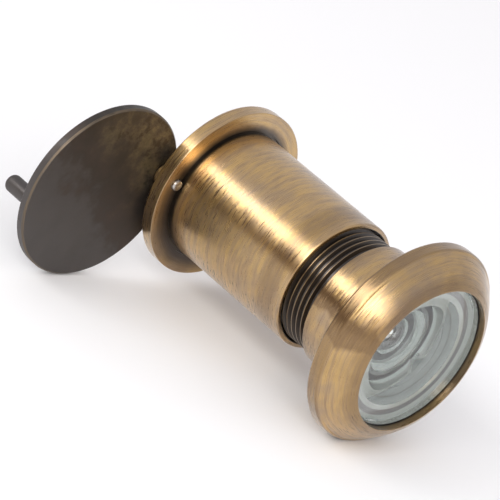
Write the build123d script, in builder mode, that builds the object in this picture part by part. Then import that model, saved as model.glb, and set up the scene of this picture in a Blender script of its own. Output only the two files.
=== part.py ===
"""Wide-angle door viewer with a swinging cover.

The optical axis is +Y, from the street to the room. Y = 0 is the door face that the inner
flange bears on, so the street end is at negative Y. +Z is up and X runs along the door.
The outer half screws into the inner half's barrel, and the two flanges clamp the door.
"""

import os
from math import cos, radians, sin

from build123d import *

os.makedirs("parts", exist_ok=True)

# ---------------------------------------------------------------- driving dimensions (mm)
DOOR_GAP = 46.5  # between the two bearing faces, as the halves are screwed together here

# inner half: barrel and flange, turned in one piece
BARREL_RADIUS = 13.0
BARREL_LENGTH = 30.5
BARREL_BORE = 11.75
MOUTH_INNER_RADIUS = 12.2
MOUTH_ROUND = 0.4
RELIEF_RADIUS = 12.8  # the barrel is tapered a little where it meets the flange
RELIEF_LENGTH = 0.8
GROOVE_RADIUS = 13.45  # and a shallow groove is turned in the flange beside it
GROOVE_DEPTH = 0.4
FLANGE_THICKNESS = 2.8
FLANGE_RADIUS = 17.0
FLANGE_BACK_ROUND = 0.45
EYE_SEAT_RADIUS = 9.2
EYE_STOP_RADIUS = 7.8
EYE_SEAT_Y = -3.9
EYE_WEB = 2.0
COIN_SLOT_WIDTH = 3.0
COIN_SLOT_DEPTH = 1.2
COIN_SLOT_REACH = 12.4

# outer half: flange with a short neck, and the threaded tube pressed into the neck
HOUSING_RADIUS = 19.85
HOUSING_HEIGHT = 7.3  # from the door to the lip round the glass
HOUSING_BACK_ROUND = 0.5
LIP_RADIUS = 14.5  # outside of the narrow flat lip; a short cone follows, then the band
CONE_RADIUS = 15.7
CONE_HEIGHT = 0.6  # this and the next heights are measured from the lip towards the door
CONE_ROUND = 0.4
BAND_MIDDLE_RADIUS = 17.58
BAND_MIDDLE_HEIGHT = 2.3
BAND_RADIUS = 19.3
BAND_HEIGHT = 4.3
SHOULDER_HEIGHT = 5.0
SHOULDER_CURVE = 0.9
NECK_RADIUS = 12.4
NECK_LENGTH = 10.0
NECK_ROUND = 0.2
TUBE_LENGTH = 22.0  # from the neck's end
TUBE_CHAMFER = 0.4
THREAD_PITCH = 1.2
THREAD_ROOT = 11.1
THREAD_CREST = 11.7
THREAD_FOOT = 0.5  # half width of the thread at its root, and at its crest
THREAD_TIP = 0.07
LENS_BORE = 10.1
GLASS_POCKET = 14.35
GLASS_SEAT = 5.45  # depth of the glass pocket below the lip
LENS_SHOULDER_RADIUS = 9.5
LENS_SHOULDER = 2.1

# glass
OBJECTIVE_RADIUS = 14.2
OBJECTIVE_RIM = 4.1
OBJECTIVE_FRONT_CURVE = 200.0
OBJECTIVE_BACK_CURVE = 22.0
OBJECTIVE_BACK_APERTURE = 10.9
LENS_RADIUS = 10.0
LENS_TWO_RIM = 4.2
LENS_TWO_CURVE = 11.0
LENS_TWO_APERTURE = 7.6
LENS_THREE_RIM = 4.4
LENS_THREE_FRONT_CURVE = 25.0
LENS_THREE_BACK_CURVE = 14.0
LENS_THREE_APERTURE = 7.0
SPACER_LENGTH = 2.4
SPACER_BORE = 8.6
STOP_THICKNESS = 0.6
STOP_APERTURE = 5.0
LENS_RING_LENGTH = 3.0
LENS_RING_BORE = 8.0
EYE_LENS_RADIUS = 9.1
EYE_LENS_RIM = 2.4
EYE_LENS_CURVE = 18.0
EYE_LENS_APERTURE = 7.7
EYE_GASKET = 0.6
EYE_RING_LENGTH = 3.0
GLASS_BEVEL = 0.25
SPANNER_SLOT_WIDTH = 1.6
SPANNER_SLOT_DEPTH = 1.2

# cover, and the rivet it turns on
PIVOT_DISTANCE = 14.2
PIVOT_ANGLE = 173.0  # from +X towards +Z
COVER_RADIUS = 17.07
COVER_THICKNESS = 1.87
COVER_EDGE = 0.3
COVER_ANGLE = 197.4  # from the pivot to the cover's centre, as it stands open
RIVET_RADIUS = 0.8
RIVET_HEAD_RADIUS = 2.2
RIVET_HEAD_HEIGHT = 1.0
RIVET_TAIL_RADIUS = 1.1
RIVET_TAIL_HEIGHT = 0.65  # proud of the flange
RIVET_TAIL_ROUND = 0.5
RIVET_SINK_RADIUS = 1.15  # shallow counterbore round the tail
RIVET_SINK_DEPTH = 0.4
BUSH_RADIUS = 2.3
BUSH_LENGTH = 0.92
SPRING_RADIUS = 2.0
SPRING_HEIGHT = 0.5
SPRING_THICKNESS = 0.2
KNOB_RADIUS = 1.65
KNOB_LENGTH = 7.9
KNOB_SPIGOT_RADIUS = 0.9
KNOB_SPIGOT_LENGTH = 1.5
KNOB_OFFSET = 12.7  # from the cover's centre, away from the pivot
RUNNING_GAP = 0.05
EDGE_ROUND = 0.15  # on turned edges that a hand or the door touches

# ---------------------------------------------------------------- places that follow
lip_y = -DOOR_GAP - HOUSING_HEIGHT
neck_end_y = -DOOR_GAP + NECK_LENGTH
tube_end_y = neck_end_y + TUBE_LENGTH
glass_seat_y = lip_y + GLASS_SEAT
shoulder_y = glass_seat_y + LENS_SHOULDER

objective_front_y = glass_seat_y - RUNNING_GAP - OBJECTIVE_RIM
lens_two_y = shoulder_y + RUNNING_GAP
spacer_y = lens_two_y + LENS_TWO_RIM
lens_three_y = spacer_y + SPACER_LENGTH
stop_y = lens_three_y + LENS_THREE_RIM
lens_ring_y = stop_y + STOP_THICKNESS + RUNNING_GAP

eye_lens_y = EYE_SEAT_Y + EYE_GASKET
eye_ring_y = eye_lens_y + EYE_LENS_RIM

cover_y = FLANGE_THICKNESS + BUSH_LENGTH + RUNNING_GAP
cover_back_y = cover_y + COVER_THICKNESS
spring_y = cover_back_y + RUNNING_GAP
rivet_head_y = spring_y + SPRING_HEIGHT

pivot = Vector(
    PIVOT_DISTANCE * cos(radians(PIVOT_ANGLE)), 0, PIVOT_DISTANCE * sin(radians(PIVOT_ANGLE))
)
open_direction = Vector(cos(radians(COVER_ANGLE)), 0, sin(radians(COVER_ANGLE)))
cover_centre = pivot + open_direction * PIVOT_DISTANCE
knob_centre = cover_centre + open_direction * KNOB_OFFSET


def turning_plane(centre):
    """A plane through an axis parallel to Y: its x is the radius and its y is the world's Y."""
    return Plane(origin=centre, x_dir=(1, 0, 0), z_dir=(0, 0, 1))


def facing_plane(centre, y):
    """A plane across the Y axis at the height y, facing +Y."""
    return Plane(origin=(centre.X, y, centre.Z), x_dir=(1, 0, 0), z_dir=(0, 1, 0))


def sag(curve, radius):
    """How deep a sphere of radius curve is at the given radius."""
    return curve - (curve**2 - radius**2) ** 0.5


def outermost_edge(piece, y):
    """The widest circular edge of a turned piece at the height y."""
    circles = piece.edges().filter_by(GeomType.CIRCLE).filter_by_position(Axis.Y, y - 0.01, y + 0.01)
    return circles.sort_by(SortBy.RADIUS)[-1]


axis_point = Vector(0, 0, 0)
pivot_axis = Axis((pivot.X, 0, pivot.Z), (0, 1, 0))

# ---------------------------------------------------------------- inner half
with BuildPart() as inner_barrel:
    with BuildSketch(turning_plane(axis_point)):
        with BuildLine():
            mouth = Line(
                (MOUTH_INNER_RADIUS, -BARREL_LENGTH),
                (BARREL_RADIUS - MOUTH_ROUND, -BARREL_LENGTH),
            )
            rounding = RadiusArc(
                mouth @ 1, (BARREL_RADIUS, -BARREL_LENGTH + MOUTH_ROUND), -MOUTH_ROUND
            )
            Polyline(
                rounding @ 1,
                (BARREL_RADIUS, -RELIEF_LENGTH),
                (RELIEF_RADIUS, GROOVE_DEPTH),
                (GROOVE_RADIUS, GROOVE_DEPTH),
                (GROOVE_RADIUS, 0),
                (FLANGE_RADIUS, 0),
                (FLANGE_RADIUS, FLANGE_THICKNESS),
                (EYE_SEAT_RADIUS + 0.3, FLANGE_THICKNESS),
                (EYE_SEAT_RADIUS, FLANGE_THICKNESS - 0.3),
                (EYE_SEAT_RADIUS, EYE_SEAT_Y),
                (EYE_STOP_RADIUS, EYE_SEAT_Y),
                (EYE_STOP_RADIUS, EYE_SEAT_Y - EYE_WEB),
                (BARREL_BORE, EYE_SEAT_Y - EYE_WEB),
                (BARREL_BORE, -BARREL_LENGTH + 0.5),
                mouth @ 0,
            )
        make_face()
    revolve(axis=Axis.Y)
    fillet(outermost_edge(inner_barrel, 0), EDGE_ROUND)
    fillet(outermost_edge(inner_barrel, FLANGE_THICKNESS), FLANGE_BACK_ROUND)
    # two slots for a coin, across the edge of the eyepiece opening
    with BuildSketch(facing_plane(axis_point, FLANGE_THICKNESS - COIN_SLOT_DEPTH)):
        SlotOverall(2 * COIN_SLOT_REACH, COIN_SLOT_WIDTH, rotation=90)
        Circle(EYE_SEAT_RADIUS, mode=Mode.SUBTRACT)
    extrude(amount=COIN_SLOT_DEPTH, mode=Mode.SUBTRACT)
    # hole for the cover's rivet, counterbored for its tail
    with BuildSketch(facing_plane(pivot, 0)):
        Circle(RIVET_RADIUS)
    extrude(amount=FLANGE_THICKNESS, mode=Mode.SUBTRACT)
    with BuildSketch(facing_plane(pivot, 0)):
        Circle(RIVET_SINK_RADIUS)
    extrude(amount=RIVET_SINK_DEPTH, mode=Mode.SUBTRACT)
inner_barrel.part.label = "inner_barrel"
export_step(inner_barrel.part, "parts/inner_barrel.step")

with BuildPart() as eyepiece_gasket:
    with BuildSketch(facing_plane(axis_point, EYE_SEAT_Y)):
        Circle(EYE_LENS_RADIUS)
        Circle(EYE_STOP_RADIUS, mode=Mode.SUBTRACT)
    extrude(amount=EYE_GASKET)
eyepiece_gasket.part.label = "eyepiece_gasket"
export_step(eyepiece_gasket.part, "parts/eyepiece_gasket.step")

with BuildPart() as eyepiece_lens:
    eye_bulge = sag(EYE_LENS_CURVE, EYE_LENS_APERTURE)
    eye_back_y = eye_lens_y + EYE_LENS_RIM
    with BuildSketch(turning_plane(axis_point)):
        with BuildLine():
            Polyline((0, eye_back_y + eye_bulge), (0, eye_lens_y - eye_bulge))
            RadiusArc((0, eye_lens_y - eye_bulge), (EYE_LENS_APERTURE, eye_lens_y), -EYE_LENS_CURVE)
            Polyline(
                (EYE_LENS_APERTURE, eye_lens_y),
                (EYE_LENS_RADIUS - GLASS_BEVEL, eye_lens_y),
                (EYE_LENS_RADIUS, eye_lens_y + GLASS_BEVEL),
                (EYE_LENS_RADIUS, eye_back_y - GLASS_BEVEL),
                (EYE_LENS_RADIUS - GLASS_BEVEL, eye_back_y),
                (EYE_LENS_APERTURE, eye_back_y),
            )
            RadiusArc((EYE_LENS_APERTURE, eye_back_y), (0, eye_back_y + eye_bulge), -EYE_LENS_CURVE)
        make_face()
    revolve(axis=Axis.Y)
eyepiece_lens.part.label = "eyepiece_lens"
export_step(eyepiece_lens.part, "parts/eyepiece_lens.step")

with BuildPart() as eyepiece_ring:
    with BuildSketch(facing_plane(axis_point, eye_ring_y)):
        Circle(EYE_SEAT_RADIUS)
        Circle(EYE_STOP_RADIUS, mode=Mode.SUBTRACT)
    extrude(amount=EYE_RING_LENGTH)
    eye_ring_edges = eyepiece_ring.edges().filter_by(GeomType.CIRCLE)
    chamfer(eye_ring_edges.group_by(Axis.Y)[-1], 0.25)
    with BuildSketch(facing_plane(axis_point, eye_ring_y + EYE_RING_LENGTH)):
        Rectangle(3 * EYE_SEAT_RADIUS, SPANNER_SLOT_WIDTH)
    extrude(amount=-SPANNER_SLOT_DEPTH, mode=Mode.SUBTRACT)
eyepiece_ring.part.label = "eyepiece_ring"
export_step(eyepiece_ring.part, "parts/eyepiece_ring.step")

# ---------------------------------------------------------------- outer half
with BuildPart() as outer_flange:
    with BuildSketch(turning_plane(axis_point)):
        with BuildLine():
            lip = Polyline(
                (GLASS_POCKET, lip_y), (LIP_RADIUS, lip_y), (CONE_RADIUS, lip_y + CONE_HEIGHT)
            )
            band = ThreePointArc(
                lip @ 1,
                (BAND_MIDDLE_RADIUS, lip_y + BAND_MIDDLE_HEIGHT),
                (BAND_RADIUS, lip_y + BAND_HEIGHT),
            )
            shoulder = RadiusArc(
                band @ 1, (HOUSING_RADIUS, lip_y + SHOULDER_HEIGHT), -SHOULDER_CURVE
            )
            Polyline(
                shoulder @ 1,
                (HOUSING_RADIUS, -DOOR_GAP),
                (NECK_RADIUS, -DOOR_GAP),
                (NECK_RADIUS, neck_end_y),
                (THREAD_ROOT, neck_end_y),
                (THREAD_ROOT, shoulder_y),
                (LENS_SHOULDER_RADIUS, shoulder_y),
                (LENS_SHOULDER_RADIUS, glass_seat_y),
                (GLASS_POCKET, glass_seat_y),
                (GLASS_POCKET, lip_y),
            )
        make_face()
    revolve(axis=Axis.Y)
    fillet(outermost_edge(outer_flange, lip_y + CONE_HEIGHT), CONE_ROUND)
    fillet(outermost_edge(outer_flange, -DOOR_GAP), HOUSING_BACK_ROUND)
    fillet(outermost_edge(outer_flange, neck_end_y), NECK_ROUND)
outer_flange.part.label = "outer_flange"
export_step(outer_flange.part, "parts/outer_flange.step")

# right-hand thread, from the neck's end to a little before the end of the tube
with BuildLine() as thread_path:
    Helix(
        pitch=THREAD_PITCH,
        height=TUBE_LENGTH - 1.5 * THREAD_PITCH,
        radius=THREAD_ROOT,
        center=(0, neck_end_y + 0.5 * THREAD_PITCH, 0),
        direction=(0, 1, 0),
    )
thread_start = thread_path.line @ 0
thread_plane = Plane(
    origin=thread_start,
    x_dir=Vector(thread_start.X, 0, thread_start.Z),
    z_dir=thread_path.line % 0,
)
with BuildPart() as threaded_tube:
    with BuildSketch(turning_plane(axis_point)):
        with BuildLine():
            Polyline(
                (LENS_BORE, shoulder_y),
                (THREAD_ROOT, shoulder_y),
                (THREAD_ROOT, tube_end_y - TUBE_CHAMFER),
                (THREAD_ROOT - TUBE_CHAMFER, tube_end_y),
                (LENS_BORE, tube_end_y),
                close=True,
            )
        make_face()
    revolve(axis=Axis.Y)
    with BuildSketch(thread_plane):
        crest = THREAD_CREST - THREAD_ROOT
        Polygon(
            (-0.1, -THREAD_FOOT),
            (crest, -THREAD_TIP),
            (crest, THREAD_TIP),
            (-0.1, THREAD_FOOT),
            align=None,
        )
    sweep(path=thread_path.line, is_frenet=True)
threaded_tube.part.label = "threaded_tube"
export_step(threaded_tube.part, "parts/threaded_tube.step")

with BuildPart() as objective_lens:
    rim_back_y = objective_front_y + OBJECTIVE_RIM
    front_bulge = sag(OBJECTIVE_FRONT_CURVE, OBJECTIVE_RADIUS - GLASS_BEVEL)
    back_hollow = sag(OBJECTIVE_BACK_CURVE, OBJECTIVE_BACK_APERTURE)
    with BuildSketch(turning_plane(axis_point)):
        with BuildLine():
            Line((0, rim_back_y - back_hollow), (0, objective_front_y - front_bulge))
            RadiusArc(
                (0, objective_front_y - front_bulge),
                (OBJECTIVE_RADIUS - GLASS_BEVEL, objective_front_y),
                -OBJECTIVE_FRONT_CURVE,
            )
            Polyline(
                (OBJECTIVE_RADIUS - GLASS_BEVEL, objective_front_y),
                (OBJECTIVE_RADIUS, objective_front_y + GLASS_BEVEL),
                (OBJECTIVE_RADIUS, rim_back_y - GLASS_BEVEL),
                (OBJECTIVE_RADIUS - GLASS_BEVEL, rim_back_y),
                (OBJECTIVE_BACK_APERTURE, rim_back_y),
            )
            RadiusArc(
                (OBJECTIVE_BACK_APERTURE, rim_back_y),
                (0, rim_back_y - back_hollow),
                OBJECTIVE_BACK_CURVE,
            )
        make_face()
    revolve(axis=Axis.Y)
objective_lens.part.label = "objective_lens"
export_step(objective_lens.part, "parts/objective_lens.step")

with BuildPart() as objective_gasket:
    with BuildSketch(facing_plane(axis_point, objective_front_y + 0.1)):
        Circle(GLASS_POCKET - RUNNING_GAP)
        Circle(OBJECTIVE_RADIUS, mode=Mode.SUBTRACT)
    extrude(amount=OBJECTIVE_RIM - 0.1)
objective_gasket.part.label = "objective_gasket"
export_step(objective_gasket.part, "parts/objective_gasket.step")

with BuildPart() as lens_two:
    lens_two_hollow = sag(LENS_TWO_CURVE, LENS_TWO_APERTURE)
    with BuildSketch(turning_plane(axis_point)):
        with BuildLine():
            Polyline(
                (0, spacer_y - lens_two_hollow),
                (0, lens_two_y),
                (LENS_RADIUS - GLASS_BEVEL, lens_two_y),
                (LENS_RADIUS, lens_two_y + GLASS_BEVEL),
                (LENS_RADIUS, spacer_y - GLASS_BEVEL),
                (LENS_RADIUS - GLASS_BEVEL, spacer_y),
                (LENS_TWO_APERTURE, spacer_y),
            )
            RadiusArc(
                (LENS_TWO_APERTURE, spacer_y), (0, spacer_y - lens_two_hollow), LENS_TWO_CURVE
            )
        make_face()
    revolve(axis=Axis.Y)
lens_two.part.label = "lens_two"
export_step(lens_two.part, "parts/lens_two.step")

with BuildPart() as mid_spacer:
    with BuildSketch(facing_plane(axis_point, spacer_y)):
        Circle(LENS_RADIUS)
        Circle(SPACER_BORE, mode=Mode.SUBTRACT)
    extrude(amount=SPACER_LENGTH)
mid_spacer.part.label = "mid_spacer"
export_step(mid_spacer.part, "parts/mid_spacer.step")

with BuildPart() as lens_three:
    front_hollow = sag(LENS_THREE_FRONT_CURVE, LENS_THREE_APERTURE)
    rear_hollow = sag(LENS_THREE_BACK_CURVE, LENS_THREE_APERTURE)
    with BuildSketch(turning_plane(axis_point)):
        with BuildLine():
            Line((0, stop_y - rear_hollow), (0, lens_three_y + front_hollow))
            RadiusArc(
                (0, lens_three_y + front_hollow),
                (LENS_THREE_APERTURE, lens_three_y),
                LENS_THREE_FRONT_CURVE,
            )
            Polyline(
                (LENS_THREE_APERTURE, lens_three_y),
                (LENS_RADIUS - GLASS_BEVEL, lens_three_y),
                (LENS_RADIUS, lens_three_y + GLASS_BEVEL),
                (LENS_RADIUS, stop_y - GLASS_BEVEL),
                (LENS_RADIUS - GLASS_BEVEL, stop_y),
                (LENS_THREE_APERTURE, stop_y),
            )
            RadiusArc(
                (LENS_THREE_APERTURE, stop_y), (0, stop_y - rear_hollow), LENS_THREE_BACK_CURVE
            )
        make_face()
    revolve(axis=Axis.Y)
lens_three.part.label = "lens_three"
export_step(lens_three.part, "parts/lens_three.step")

with BuildPart() as aperture_stop:
    with BuildSketch(facing_plane(axis_point, stop_y)):
        Circle(LENS_RADIUS)
        Circle(STOP_APERTURE, mode=Mode.SUBTRACT)
    extrude(amount=STOP_THICKNESS)
aperture_stop.part.label = "aperture_stop"
export_step(aperture_stop.part, "parts/aperture_stop.step")

with BuildPart() as lens_retaining_ring:
    with BuildSketch(facing_plane(axis_point, lens_ring_y)):
        Circle(LENS_BORE)
        Circle(LENS_RING_BORE, mode=Mode.SUBTRACT)
    extrude(amount=LENS_RING_LENGTH)
    with BuildSketch(facing_plane(axis_point, lens_ring_y + LENS_RING_LENGTH)):
        Rectangle(3 * LENS_BORE, SPANNER_SLOT_WIDTH)
    extrude(amount=-SPANNER_SLOT_DEPTH, mode=Mode.SUBTRACT)
lens_retaining_ring.part.label = "lens_retaining_ring"
export_step(lens_retaining_ring.part, "parts/lens_retaining_ring.step")

# ---------------------------------------------------------------- pivot
with BuildPart() as pivot_rivet:
    with BuildSketch(facing_plane(pivot, RIVET_SINK_DEPTH)):
        Circle(RIVET_TAIL_RADIUS)
    extrude(amount=-RIVET_SINK_DEPTH - RIVET_TAIL_HEIGHT)
    tail_end = pivot_rivet.edges().filter_by(GeomType.CIRCLE).sort_by(Axis.Y)[0]
    fillet(tail_end, RIVET_TAIL_ROUND)
    with BuildSketch(facing_plane(pivot, RIVET_SINK_DEPTH)):
        Circle(RIVET_RADIUS)
    extrude(amount=rivet_head_y - RIVET_SINK_DEPTH)
    with BuildSketch(facing_plane(pivot, rivet_head_y)):
        Circle(RIVET_HEAD_RADIUS)
    extrude(amount=RIVET_HEAD_HEIGHT)
    head_top = pivot_rivet.edges().filter_by(GeomType.CIRCLE).sort_by(Axis.Y)[-1]
    fillet(head_top, 0.8)
pivot_rivet.part.label = "pivot_rivet"
export_step(pivot_rivet.part, "parts/pivot_rivet.step")

with BuildPart() as pivot_bush:
    with BuildSketch(facing_plane(pivot, FLANGE_THICKNESS)):
        Circle(BUSH_RADIUS)
    extrude(amount=BUSH_LENGTH)
    fillet(pivot_bush.edges().filter_by(GeomType.CIRCLE).sort_by(Axis.Y)[-1], 2 * EDGE_ROUND)
    with BuildSketch(facing_plane(pivot, FLANGE_THICKNESS)):
        Circle(RIVET_RADIUS)
    extrude(amount=BUSH_LENGTH, mode=Mode.SUBTRACT)
pivot_bush.part.label = "pivot_bush"
export_step(pivot_bush.part, "parts/pivot_bush.step")

with BuildPart() as spring_washer:
    with BuildSketch(turning_plane(pivot)):
        Polygon(
            (RIVET_RADIUS + RUNNING_GAP, rivet_head_y - SPRING_THICKNESS),
            (RIVET_RADIUS + RUNNING_GAP, rivet_head_y),
            (SPRING_RADIUS, spring_y + SPRING_THICKNESS),
            (SPRING_RADIUS, spring_y),
            align=None,
        )
    revolve(axis=pivot_axis)
spring_washer.part.label = "spring_washer"
export_step(spring_washer.part, "parts/spring_washer.step")

# ---------------------------------------------------------------- cover
with BuildPart() as cover_disc:
    with BuildSketch(facing_plane(cover_centre, cover_y)):
        Circle(COVER_RADIUS)
    extrude(amount=COVER_THICKNESS)
    chamfer(cover_disc.edges().filter_by(GeomType.CIRCLE), COVER_EDGE)
    with BuildSketch(facing_plane(pivot, cover_y)):
        Circle(RIVET_RADIUS + RUNNING_GAP)
    extrude(amount=COVER_THICKNESS, mode=Mode.SUBTRACT)
    with BuildSketch(facing_plane(knob_centre, cover_back_y)):
        Circle(KNOB_SPIGOT_RADIUS)
    extrude(amount=-KNOB_SPIGOT_LENGTH, mode=Mode.SUBTRACT)
cover_disc.part.label = "cover_disc"
export_step(cover_disc.part, "parts/cover_disc.step")

with BuildPart() as cover_knob:
    with BuildSketch(facing_plane(knob_centre, cover_back_y)):
        Circle(KNOB_RADIUS)
    extrude(amount=KNOB_LENGTH)
    knob_tip = cover_knob.edges().filter_by(GeomType.CIRCLE).sort_by(Axis.Y)[-1]
    fillet(knob_tip, 1.1)
    with BuildSketch(facing_plane(knob_centre, cover_back_y)):
        Circle(KNOB_SPIGOT_RADIUS)
    extrude(amount=-KNOB_SPIGOT_LENGTH)
cover_knob.part.label = "cover_knob"
export_step(cover_knob.part, "parts/cover_knob.step")
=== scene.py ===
"""Looks of the door viewer: antique brass, dark bronze cover, glass, and a pale studio.

All lengths are in metres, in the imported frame: +Y is the optical axis, from the street to the
room, and +Z is up. Places on the object are measured from the boxes of its nodes.
"""

from math import cos, radians, sin

import bpy
from mathutils import Matrix, Vector


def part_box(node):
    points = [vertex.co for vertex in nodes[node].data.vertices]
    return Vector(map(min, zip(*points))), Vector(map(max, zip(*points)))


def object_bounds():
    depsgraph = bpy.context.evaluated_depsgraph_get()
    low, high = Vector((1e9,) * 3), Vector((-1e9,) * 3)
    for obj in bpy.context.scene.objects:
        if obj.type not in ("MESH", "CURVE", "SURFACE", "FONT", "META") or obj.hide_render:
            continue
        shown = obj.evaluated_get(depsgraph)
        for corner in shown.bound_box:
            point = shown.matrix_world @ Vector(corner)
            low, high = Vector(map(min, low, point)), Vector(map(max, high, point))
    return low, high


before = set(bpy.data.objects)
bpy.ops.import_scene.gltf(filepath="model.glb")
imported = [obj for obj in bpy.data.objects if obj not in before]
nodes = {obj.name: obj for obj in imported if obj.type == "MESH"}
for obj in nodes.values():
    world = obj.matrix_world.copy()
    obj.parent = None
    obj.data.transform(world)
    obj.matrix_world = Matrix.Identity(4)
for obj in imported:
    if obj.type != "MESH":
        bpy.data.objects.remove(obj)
cad_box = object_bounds()
MM = 0.001


def half_width(node):
    """Half of a node's extent along X, which is the radius of a round one."""
    low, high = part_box(node)
    return (high[0] - low[0]) / 2


# ---------------------------------------------------------------- places on the object
BARREL_RADIUS = 13.0 * MM
BORE_PAINT_RADIUS = 10.0 * MM  # a little past the wall of the hole behind the glass seat
mouth_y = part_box("inner_barrel")[0][1]
flange_low, flange_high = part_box("outer_flange")
lip_y = flange_low[1]
neck_end_y = flange_high[1]
flange_radius = flange_high[0]
pocket_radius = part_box("objective_gasket")[1][0]
tube_radius = half_width("threaded_tube")
cover_low, cover_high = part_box("cover_disc")
cover_centre = (Vector(cover_low) + Vector(cover_high)) / 2
cover_radius = half_width("cover_disc")
floor_z = cad_box[0][2]

# ---------------------------------------------------------------- camera and floor
CAMERA_DISTANCE = 0.600
CAMERA_AZIMUTH = 53.55  # of the view direction, from +Y towards +X
CAMERA_ELEVATION = 20.96
CAMERA_ROLL = 25.9
CAMERA_LENS = 252.7
CAMERA_TARGET = Vector((-0.0211, -0.0260, 0.0048))
SENSOR_WIDTH = 36.0
NEAREST_SEEN = 0.01
FLOOR_HALF_SIDE = 3.0

# ---------------------------------------------------------------- colours (linear)
GOLD = (0.62, 0.405, 0.155, 1)
TAN = (0.50, 0.335, 0.165, 1)
MAUVE = (0.37, 0.27, 0.185, 1)
# Brown patina; it also colours painted shade by the barrel's corner and a painted dark reflection on
# the flange.
BROWN = (0.20, 0.115, 0.045, 1)
# Blackened finish; it also colours painted shade in the barrel's corner.
BLACKENED_AND_SHADE = (0.035, 0.027, 0.022, 1)
LACQUER_ROUGHNESS = 0.28
BRONZE = (0.058, 0.052, 0.046, 1)
BRONZE_WARM = (0.085, 0.068, 0.060, 1)
BRONZE_GREY = (0.098, 0.089, 0.085, 1)
OLIVE = (0.115, 0.098, 0.060, 1)
OLIVE_PALE = (0.165, 0.138, 0.085, 1)
WORN_EDGE = (0.155, 0.12, 0.085, 1)
GLASS = (0.985, 1.0, 0.99, 1)
GROUND_GLASS = (0.62, 0.70, 0.66, 1)
GROUND_GLASS_PALE = (0.80, 0.86, 0.83, 1)
GLASS_INDEX = 1.52
WALL_GLOW = 0.27  # stands for the light that a ground wall gathers through the glass
PAINT_PALE = (0.62, 0.66, 0.62, 1)
PAINT_DARK = (0.16, 0.15, 0.15, 1)
STEEL = (0.66, 0.64, 0.62, 1)
STEEL_STAIN = (0.30, 0.26, 0.22, 1)
RUBBER = (0.012, 0.012, 0.012, 1)
RUBBER_DUST = (0.03, 0.03, 0.03, 1)
SPACER_GREY = (0.70, 0.72, 0.70, 1)
SPACER_DUST = (0.78, 0.80, 0.78, 1)
STOP_GREY = (0.34, 0.34, 0.33, 1)
STOP_DUST = (0.42, 0.42, 0.41, 1)
RING_BLACK = (0.03, 0.028, 0.026, 1)
RING_DUST = (0.07, 0.06, 0.05, 1)
FLOOR_WHITE = (0.93, 0.93, 0.93, 1)
STUDIO_PALE = (0.74, 0.73, 0.76, 1)
STUDIO_DARK = (0.26, 0.17, 0.095, 1)


class Shader:
    """One material with a Principled surface, and short ways to add nodes to it."""

    def __init__(self, name):
        self.material = bpy.data.materials.new(name)
        self.material.use_nodes = True
        self.tree = self.material.node_tree
        self.surface = self.tree.nodes["Principled BSDF"]

    def feed(self, socket, value):
        if isinstance(value, bpy.types.NodeSocket):
            self.tree.links.new(value, socket)
        else:
            socket.default_value = value

    def add(self, kind, inputs=None, **settings):
        node = self.tree.nodes.new(kind)
        for key, value in settings.items():
            setattr(node, key, value)
        for key, value in (inputs or {}).items():
            self.feed(node.inputs[key], value)
        return node

    def set(self, **inputs):
        """Feeds the surface: set(Base_Color=..., Roughness=...)."""
        for key, value in inputs.items():
            self.feed(self.surface.inputs[key.replace("_", " ")], value)

    def math(self, operation, a, b=0.0, c=0.0):
        return self.add("ShaderNodeMath", {0: a, 1: b, 2: c}, operation=operation).outputs[0]

    def times(self, first, *others):
        """The product of several masks."""
        for other in others:
            first = self.math("MULTIPLY", first, other)
        return first

    def most(self, first, *others):
        """The largest of several masks."""
        for other in others:
            first = self.math("MAXIMUM", first, other)
        return first

    def between(self, value, low, high, soft):
        """1 where value lies between low and high, with soft edges."""
        rise = self.step(value, low - soft, low + soft)
        return self.times(rise, self.step(value, high + soft, high - soft))

    def step(self, value, low, high, out_low=0.0, out_high=1.0):
        """A smooth step from out_low at low to out_high at high."""
        inputs = {"Value": value, 1: low, 2: high, 3: out_low, 4: out_high}
        return self.add("ShaderNodeMapRange", inputs, interpolation_type="SMOOTHSTEP").outputs[0]

    def mix(self, factor, a, b):
        """Colour a where factor is 0, and colour b where it is 1."""
        node = self.add("ShaderNodeMix", data_type="RGBA", blend_type="MIX")
        self.feed(node.inputs[0], factor)
        self.feed(node.inputs[6], a)
        self.feed(node.inputs[7], b)
        return node.outputs[2]

    def noise(self, vector, scale=1.0, detail=2.0, roughness=0.5):
        inputs = {"Vector": vector, "Scale": scale, "Detail": detail, "Roughness": roughness}
        return self.add("ShaderNodeTexNoise", inputs).outputs["Fac"]

    def position(self):
        return self.add("ShaderNodeTexCoord").outputs["Object"]

    def vector(self, x, y, z):
        return self.add("ShaderNodeCombineXYZ", {"X": x, "Y": y, "Z": z}).outputs[0]

    def bump(self, height, distance, strength=1.0, normal=None):
        inputs = {"Height": height, "Distance": distance, "Strength": strength}
        if normal is not None:
            inputs["Normal"] = normal
        return self.add("ShaderNodeBump", inputs).outputs[0]


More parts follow.
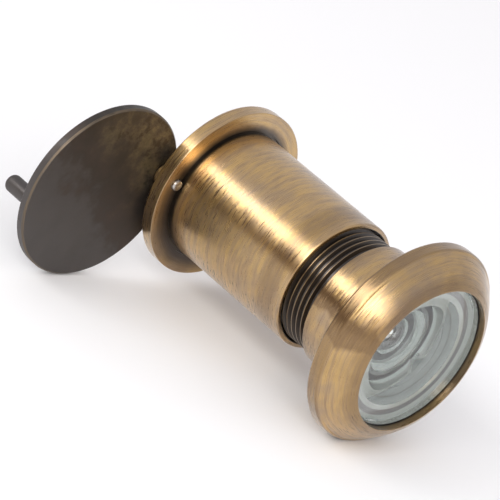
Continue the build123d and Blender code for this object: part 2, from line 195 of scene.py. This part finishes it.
class Turned:
    """Coordinates about an axis parallel to Y, for marks that a lathe or a brush leaves."""

    def __init__(self, shader, centre_x=0.0, centre_z=0.0):
        self.shader = shader
        split = shader.add("ShaderNodeSeparateXYZ", {"Vector": shader.position()})
        x = shader.math("SUBTRACT", split.outputs["X"], centre_x)
        z = shader.math("SUBTRACT", split.outputs["Z"], centre_z)
        flat = shader.vector(x, 0.0, z)
        self.x = x
        self.z = z
        self.height = split.outputs["Y"]
        self.radius = shader.add("ShaderNodeVectorMath", {0: flat}, operation="LENGTH").outputs["Value"]
        outward = shader.add("ShaderNodeVectorMath", {0: flat}, operation="NORMALIZE").outputs[0]
        self.outward = shader.add("ShaderNodeSeparateXYZ", {"Vector": outward}).outputs

    def stretched(self, round_scale, across, wander=0.0):
        """A vector for textures drawn out round the axis: features are `across` wide.

        The line across them mixes radius and height, so marks show on faces and on walls alike.
        """
        shader = self.shader
        radius_share = 1.37
        across_line = shader.math("MULTIPLY_ADD", self.radius, radius_share, self.height)
        if wander:
            sway = shader.noise(shader.position(), scale=170.0, detail=1.0)
            across_line = shader.math("MULTIPLY_ADD", sway, wander, across_line)
        return shader.vector(
            shader.math("MULTIPLY", self.outward["X"], round_scale),
            shader.math("DIVIDE", across_line, across),
            shader.math("MULTIPLY", self.outward["Z"], round_scale),
        )

    def tilted_normal(self, amount):
        """The surface normal, leaned to and fro round the axis by `amount`."""
        shader = self.shader
        back = shader.math("MULTIPLY", self.outward["X"], -1.0)
        tangent = shader.vector(self.outward["Z"], 0.0, back)
        tangent = shader.add(
            "ShaderNodeVectorTransform", {0: tangent}, vector_type="VECTOR", convert_from="OBJECT",
            convert_to="WORLD",
        ).outputs[0]
        lean = shader.add("ShaderNodeVectorMath", {0: tangent, "Scale": amount}, operation="SCALE")
        normal = shader.add("ShaderNodeNewGeometry").outputs["Normal"]
        summed = shader.add("ShaderNodeVectorMath", {0: normal, 1: lean.outputs[0]}, operation="ADD")
        leaned = shader.add("ShaderNodeVectorMath", {0: summed.outputs[0]}, operation="NORMALIZE")
        return leaned.outputs[0]


# ---------------------------------------------------------------- materials
def brushed_brass(name, dark_and_shade_mask=None, brown_and_painted_dark_mask=None, grey_paint=None, patina=1.0):
    """Antique brass: brushed round the axis, with patina left in streaks, under clear lacquer.

    The dark and brown masks take (shader, turned). They give 1 where the blackened finish was not
    brushed away, and where it was brushed back to brown; at the barrel's corner they also hold painted
    shade, and on the flange a painted dark reflection. grey_paint gives (mask, colour) for the
    painted seat under the front glass. patina sets how much mauve and brown is left everywhere,
    and above 1 it also leaves brown clouds.
    """
    shader = Shader(name)
    turned = Turned(shader)
    strokes = shader.noise(turned.stretched(5.0, 0.17 * MM, wander=0.4 * MM), detail=2.0)
    fine = shader.noise(turned.stretched(8.0, 0.09 * MM, wander=0.4 * MM), detail=1.0)
    bands = shader.noise(turned.stretched(2.0, 0.8 * MM, wander=1.0 * MM), detail=3.0)
    clouds = shader.noise(shader.position(), scale=80.0, detail=3.0, roughness=0.6)

    colour = shader.mix(shader.step(bands, 0.38, 0.64), TAN, GOLD)
    colour = shader.mix(shader.step(clouds, 0.42, 0.68, 0.0, 0.65 * patina), colour, MAUVE)
    colour = shader.mix(shader.step(bands, 0.48, 0.26, 0.0, 0.26 * patina), colour, BROWN)
    colour = shader.mix(shader.step(clouds, 0.50, 0.30, 0.0, 0.8 * (patina - 1.0)), colour, BROWN)
    colour = shader.mix(shader.step(strokes, 0.52, 0.30, 0.0, 0.18), colour, BROWN)
    colour = shader.mix(shader.step(fine, 0.60, 0.30, 0.0, 0.14), colour, BROWN)
    # The brown mask also holds painted shade and a painted dark reflection.
    if brown_and_painted_dark_mask:
        ragged = shader.step(strokes, 0.30, 0.62, 0.75, 1.0)
        brown = shader.times(brown_and_painted_dark_mask(shader, turned), ragged)
        colour = shader.mix(brown, colour, BROWN)
    roughness = shader.step(strokes, 0.3, 0.7, 0.26, 0.36)
    # The dark mask also holds painted shade in the barrel's corner.
    if dark_and_shade_mask:
        dark = dark_and_shade_mask(shader, turned)
        colour = shader.mix(dark, colour, BLACKENED_AND_SHADE)
        roughness = shader.math("MULTIPLY_ADD", dark, 0.08, roughness)
    lean = shader.times(shader.math("SUBTRACT", strokes, 0.5), 0.30)
    normal = shader.bump(fine, 0.02 * MM, 0.35, turned.tilted_normal(lean))
    tangent = shader.add("ShaderNodeTangent", direction_type="RADIAL", axis="Y").outputs[0]
    metallic = 1.0
    if grey_paint:
        painted, paint = grey_paint(shader, turned)
        colour = shader.mix(painted, colour, paint)
        metallic = shader.math("SUBTRACT", 1.0, painted)
    shader.set(
        Base_Color=colour, Metallic=metallic, Roughness=roughness, Normal=normal, Tangent=tangent,
        Anisotropic=0.6, Anisotropic_Rotation=0.25, Coat_Weight=0.9, Coat_Roughness=LACQUER_ROUGHNESS,
    )
    return shader.material


def from_corner(shader, turned):
    """Distance along the flange's face from the corner between barrel and flange.

    It grows faster along the barrel and on the upper side. The faster growth on the upper side
    narrows the painted corner shade there, where light falls from above.
    """
    barrel_share, upper_lit_share = 2.1, 2.0
    outward = shader.math("SUBTRACT", turned.radius, BARREL_RADIUS)
    distance = shader.math("MULTIPLY_ADD", turned.height, -barrel_share, outward)
    sway = shader.noise(shader.position(), scale=350.0, detail=2.0)
    distance = shader.math("MULTIPLY_ADD", shader.math("SUBTRACT", sway, 0.5), 0.9 * MM, distance)
    return shader.times(distance, shader.step(turned.outward["Z"], 0.1, 0.75, 1.0, upper_lit_share))


def barrel_dark_and_shade(shader, turned):
    """Blackened in the barrel's bore. In the corner between barrel and flange, dark patina with painted
    shade, narrower on the upper side.
    """
    bore = shader.times(
        shader.step(turned.radius, 12.35 * MM, 12.15 * MM),
        shader.step(turned.height, -1.5 * MM, -2.5 * MM),
    )
    # Corner: dark patina with painted shade, narrower on the upper side where light falls.
    corner = shader.times(
        shader.step(from_corner(shader, turned), 3.7 * MM, 0.6 * MM, 0.0, 0.92),
        shader.step(turned.height, 0.9 * MM, 0.5 * MM),
    )
    return shader.most(bore, corner)


def barrel_brown_and_shade(shader, turned):
    """Browner near the mouth and round the flange's outside; on its door side a brown fringe of patina
    and painted shade round the dark corner.
    """
    mouth = shader.between(turned.height, mouth_y + 1.6 * MM, mouth_y + 6.0 * MM, 1.0 * MM)
    # Door side: a brown fringe of patina and painted shade round the dark corner.
    face = shader.times(
        shader.step(from_corner(shader, turned), 4.4 * MM, 1.8 * MM, 0.0, 0.8),
        shader.between(turned.height, -0.1 * MM, 0.1 * MM, 0.05 * MM),
    )
    outside = shader.step(turned.height, 0.4 * MM, 1.6 * MM, 0.0, 0.15)
    return shader.most(shader.times(mouth, 0.5), face, outside)


def within_pocket(shader, turned):
    """1 inside the glass pocket's wall, and on it."""
    return shader.step(turned.radius, pocket_radius + 0.08 * MM, pocket_radius + 0.03 * MM)


def pocket_dark(shader, turned):
    """Blackened in the glass pocket, from a little in front of the glass to near its seat."""
    deep = shader.between(turned.height, lip_y + 1.1 * MM, lip_y + 4.6 * MM, 0.2 * MM)
    return shader.times(within_pocket(shader, turned), deep)


def seat_paint(shader, turned):
    """Grey paint on the glass seat and in the bore behind it, with a darker ring."""
    paint_from = lip_y + 4.8 * MM
    seat = shader.times(
        within_pocket(shader, turned),
        shader.between(turned.height, paint_from, lip_y + 5.8 * MM, 0.1 * MM),
    )
    bore = shader.times(
        shader.step(turned.radius, BORE_PAINT_RADIUS + 0.2 * MM, BORE_PAINT_RADIUS),
        shader.between(turned.height, paint_from, lip_y + 9.0 * MM, 0.1 * MM),
    )
    ring = shader.between(turned.radius, 11.9 * MM, 13.0 * MM, 0.15 * MM)
    return shader.most(seat, bore), shader.mix(ring, PAINT_PALE, PAINT_DARK)


def flange_brown_and_reflection(shader, turned):
    """Browner on the lip, on the land behind the ridge and by the thread; and a painted dark
    reflection in a brown band on the -X side, a little above its middle.
    """
    lip = shader.times(
        shader.step(turned.radius, 17.2 * MM, 15.3 * MM, 0.12, 0.65),
        shader.step(turned.height, lip_y + 6.0 * MM, lip_y + 5.0 * MM),
    )
    land = shader.times(
        shader.step(turned.radius, flange_radius - 0.5 * MM, flange_radius - 0.15 * MM, 0.0, 0.65),
        shader.step(turned.height, lip_y + 4.3 * MM, lip_y + 4.8 * MM),
    )
    neck = shader.step(turned.height, neck_end_y - 3.0 * MM, neck_end_y, 0.0, 0.5)
    sway = shader.math("SUBTRACT", shader.noise(shader.position(), scale=250.0, detail=3.0), 0.5)
    wavy = shader.math("MULTIPLY_ADD", sway, 0.25, turned.outward["Z"])
    # Painted dark reflection: a brown band on the -X side, a little above its middle.
    painted_dark_reflection = shader.times(
        shader.between(wavy, 0.06, 0.33, 0.05),
        shader.step(turned.outward["X"], 0.1, -0.1, 0.0, 0.95),
    )
    return shader.most(neck, lip, land, painted_dark_reflection)


def thread_dark(shader, turned):
    """Blackened thread, with thin bright crests."""
    return shader.step(turned.radius, tube_radius - 0.01 * MM, tube_radius - 0.06 * MM, 0.55, 0.98)


def dark_bronze(name):
    """Dark oxidised cover: satin, faintly turned, mottled olive on the upper side by its pivot."""
    shader = Shader(name)
    turned = Turned(shader, cover_centre.x, cover_centre.z)
    rings = shader.noise(turned.stretched(5.0, 0.3 * MM), detail=1.0)
    clouds = shader.noise(shader.position(), scale=120.0, detail=4.0, roughness=0.6)
    specks = shader.noise(shader.position(), scale=650.0, detail=3.0, roughness=0.65)
    colour = shader.mix(shader.step(clouds, 0.35, 0.68), BRONZE, BRONZE_WARM)
    toward_corner = shader.math("MULTIPLY_ADD", turned.x, 0.6, shader.times(turned.z, 0.8))
    sway = shader.math("SUBTRACT", clouds, 0.5)
    ragged = shader.math("MULTIPLY_ADD", sway, 30.0 * MM, toward_corner)
    colour = shader.mix(shader.step(ragged, 1.0 * MM, -5.0 * MM), colour, BRONZE_GREY)
    corner = shader.step(ragged, 3.0 * MM, 15.0 * MM)
    olive = shader.times(corner, shader.step(clouds, 0.36, 0.66))
    colour = shader.mix(olive, colour, OLIVE)
    pale = shader.times(corner, shader.step(specks, 0.49, 0.66, 0.0, 0.65))
    colour = shader.mix(pale, colour, OLIVE_PALE)
    pits = shader.times(corner, shader.step(specks, 0.48, 0.36, 0.0, 0.7))
    colour = shader.mix(pits, colour, BLACKENED_AND_SHADE)
    edge = shader.times(
        shader.step(turned.radius, cover_radius - 0.38 * MM, cover_radius - 0.25 * MM),
        shader.step(turned.height, cover_low[1] + 0.42 * MM, cover_low[1] + 0.25 * MM),
        shader.step(rings, 0.3, 0.6, 0.35, 1.0),
    )
    colour = shader.mix(edge, colour, WORN_EDGE)
    height = shader.math("MULTIPLY_ADD", rings, 0.5, specks)
    shader.set(
        Base_Color=colour, Metallic=0.85, Roughness=shader.step(clouds, 0.3, 0.7, 0.38, 0.52),
        Normal=shader.bump(height, 0.03 * MM, 0.4),
    )
    return shader.material


def optical_glass(name, node):
    """Clear glass, faintly green; its cylindrical wall is ground matt and glows faintly, painted
    light that stands for the light the wall gathers through the glass.
    """
    shader = Shader(name)
    shader.set(Base_Color=GLASS, Roughness=0.0, IOR=GLASS_INDEX, Transmission_Weight=1.0)
    turned = Turned(shader)
    radius = half_width(node)
    wall = shader.step(turned.radius, radius - 0.06 * MM, radius - 0.03 * MM)
    grain = shader.noise(shader.position(), scale=2500.0, detail=2.0)
    ground = shader.mix(shader.step(grain, 0.3, 0.7), GROUND_GLASS, GROUND_GLASS_PALE)
    shader.set(
        Base_Color=shader.mix(wall, GLASS, ground), Roughness=shader.times(wall, 0.6),
        Transmission_Weight=shader.math("MULTIPLY_ADD", wall, -0.8, 1.0),
        Normal=shader.bump(grain, 0.02 * MM, shader.times(wall, 0.6)),
        Emission_Color=ground, Emission_Strength=shader.times(wall, WALL_GLOW),
    )
    return shader.material


def steel(name):
    """Plain steel, hammered where the rivet was closed."""
    shader = Shader(name)
    dents = shader.noise(shader.position(), scale=1500.0, detail=1.0)
    stains = shader.noise(shader.position(), scale=700.0, detail=3.0)
    shader.set(
        Base_Color=shader.mix(shader.step(stains, 0.42, 0.62), STEEL, STEEL_STAIN),
        Metallic=1.0, Roughness=shader.step(stains, 0.3, 0.7, 0.22, 0.42),
        Normal=shader.bump(dents, 0.25 * MM, 0.7),
    )
    return shader.material


def satin(name, colour, dust, metallic, roughness):
    """Rubber, painted plastic or blackened metal: one colour, with a grain and a little dust."""
    shader = Shader(name)
    grain = shader.noise(shader.position(), scale=3000.0, detail=2.0)
    patches = shader.noise(shader.position(), scale=300.0, detail=3.0)
    shader.set(
        Base_Color=shader.mix(shader.step(patches, 0.45, 0.75), colour, dust),
        Metallic=metallic, Roughness=shader.step(patches, 0.3, 0.7, roughness, roughness + 0.12),
        Normal=shader.bump(grain, 0.02 * MM, 0.4),
    )
    return shader.material


def assign(material, *names):
    """Gives one material to several CAD nodes."""
    for name in names:
        nodes[name].material_slots[0].material = material


def add_materials():
    assign(brushed_brass("barrel_brass", barrel_dark_and_shade, barrel_brown_and_shade), "inner_barrel")
    assign(brushed_brass("bush_brass"), "pivot_bush")
    flange_brass = brushed_brass("flange_brass", pocket_dark, flange_brown_and_reflection, seat_paint, patina=1.4)
    assign(flange_brass, "outer_flange")
    assign(brushed_brass("thread_brass", thread_dark), "threaded_tube")
    assign(dark_bronze("cover_bronze"), "cover_disc", "cover_knob")
    for name in ("objective_lens", "lens_two", "lens_three", "eyepiece_lens"):
        assign(optical_glass(name + "_glass", name), name)
    assign(steel("rivet_steel"), "pivot_rivet", "spring_washer")
    rubber = satin("black_rubber", RUBBER, RUBBER_DUST, metallic=0.0, roughness=0.55)
    assign(rubber, "objective_gasket", "eyepiece_gasket")
    assign(satin("spacer_grey", SPACER_GREY, SPACER_DUST, metallic=0.0, roughness=0.4), "mid_spacer")
    assign(satin("stop_grey", STOP_GREY, STOP_DUST, metallic=0.0, roughness=0.4), "aperture_stop")
    blackened = satin("ring_black", RING_BLACK, RING_DUST, metallic=0.8, roughness=0.3)
    assign(blackened, "eyepiece_ring", "lens_retaining_ring")


# ---------------------------------------------------------------- studio
def add_camera():
    """The camera stands in front of the outer flange, above it, and is rolled."""
    flat = cos(radians(CAMERA_ELEVATION))
    forward = Vector((
        flat * sin(radians(CAMERA_AZIMUTH)),
        flat * cos(radians(CAMERA_AZIMUTH)),
        -sin(radians(CAMERA_ELEVATION)),
    ))
    level_right = forward.cross(Vector((0, 0, 1))).normalized()
    level_up = level_right.cross(forward)
    roll = radians(CAMERA_ROLL)
    right = level_right * cos(roll) + level_up * sin(roll)
    up = right.cross(forward)
    data = bpy.data.cameras.new("camera")
    data.lens = CAMERA_LENS
    data.sensor_width = SENSOR_WIDTH
    data.clip_start = NEAREST_SEEN
    camera = bpy.data.objects.new("camera", data)
    turn = Matrix((right, up, -forward)).transposed().to_4x4()
    camera.matrix_world = Matrix.Translation(CAMERA_TARGET - forward * CAMERA_DISTANCE) @ turn
    bpy.context.collection.objects.link(camera)
    bpy.context.scene.camera = camera


def add_floor():
    """A plain pale square at the object's lowest point."""
    half = FLOOR_HALF_SIDE
    square = [(-half, -half), (half, -half), (half, half), (-half, half)]
    mesh = bpy.data.meshes.new("floor")
    mesh.from_pydata([(x, y, floor_z) for x, y in square], [], [(0, 1, 2, 3)])
    floor = bpy.data.objects.new("floor", mesh)
    bpy.context.collection.objects.link(floor)
    shader = Shader("floor")
    shader.set(Base_Color=FLOOR_WHITE, Roughness=0.8)
    mesh.materials.append(shader.material)


def add_softbox(name, place, aim, length, width, power):
    """A rectangular light whose long side is along Y."""
    data = bpy.data.lights.new(name, "AREA")
    data.shape = "RECTANGLE"
    data.size = width
    data.size_y = length
    data.energy = power
    light = bpy.data.objects.new(name, data)
    back = (Vector(place) - Vector(aim)).normalized()
    across = Vector((0, 1, 0)).cross(back).normalized()
    along = back.cross(across)
    light.matrix_world = Matrix.Translation(place) @ Matrix((across, along, back)).transposed().to_4x4()
    bpy.context.collection.objects.link(light)


def add_world():
    """Pale all round, but for a dark low strip on the -X side."""
    world = bpy.data.worlds.new("world")
    bpy.context.scene.world = world
    world.use_nodes = True
    tree = world.node_tree
    background = tree.nodes["Background"]
    direction = tree.nodes.new("ShaderNodeTexCoord")
    split = tree.nodes.new("ShaderNodeSeparateXYZ")
    tree.links.new(direction.outputs["Generated"], split.inputs[0])

    def smooth(socket, low, high):
        node = tree.nodes.new("ShaderNodeMapRange")
        node.interpolation_type = "SMOOTHSTEP"
        tree.links.new(socket, node.inputs["Value"])
        node.inputs[1].default_value = low
        node.inputs[2].default_value = high
        return node.outputs[0]

    level = tree.nodes.new("ShaderNodeMath")
    level.operation = "MAXIMUM"
    tree.links.new(smooth(split.outputs["X"], -0.35, 0.25), level.inputs[0])
    tree.links.new(smooth(split.outputs["Z"], 0.12, 0.55), level.inputs[1])
    mix = tree.nodes.new("ShaderNodeMix")
    mix.data_type = "RGBA"
    tree.links.new(level.outputs[0], mix.inputs[0])
    mix.inputs[6].default_value = STUDIO_DARK
    mix.inputs[7].default_value = STUDIO_PALE
    tree.links.new(mix.outputs[2], background.inputs["Color"])
    background.inputs["Strength"].default_value = 1.0


add_camera()
add_floor()
add_world()
add_softbox(
    "strip_light", place=(-1.0, -0.65, 0.75), aim=(0, -0.65, 0), length=3.5, width=0.42, power=21.0,
)
add_softbox(
    "front_light", place=(-0.95, -1.15, 0.75), aim=(0, 0, 0), length=0.8, width=0.8, power=4.5,
)
add_materials()
bpy.context.scene.view_settings.view_transform = "Standard"
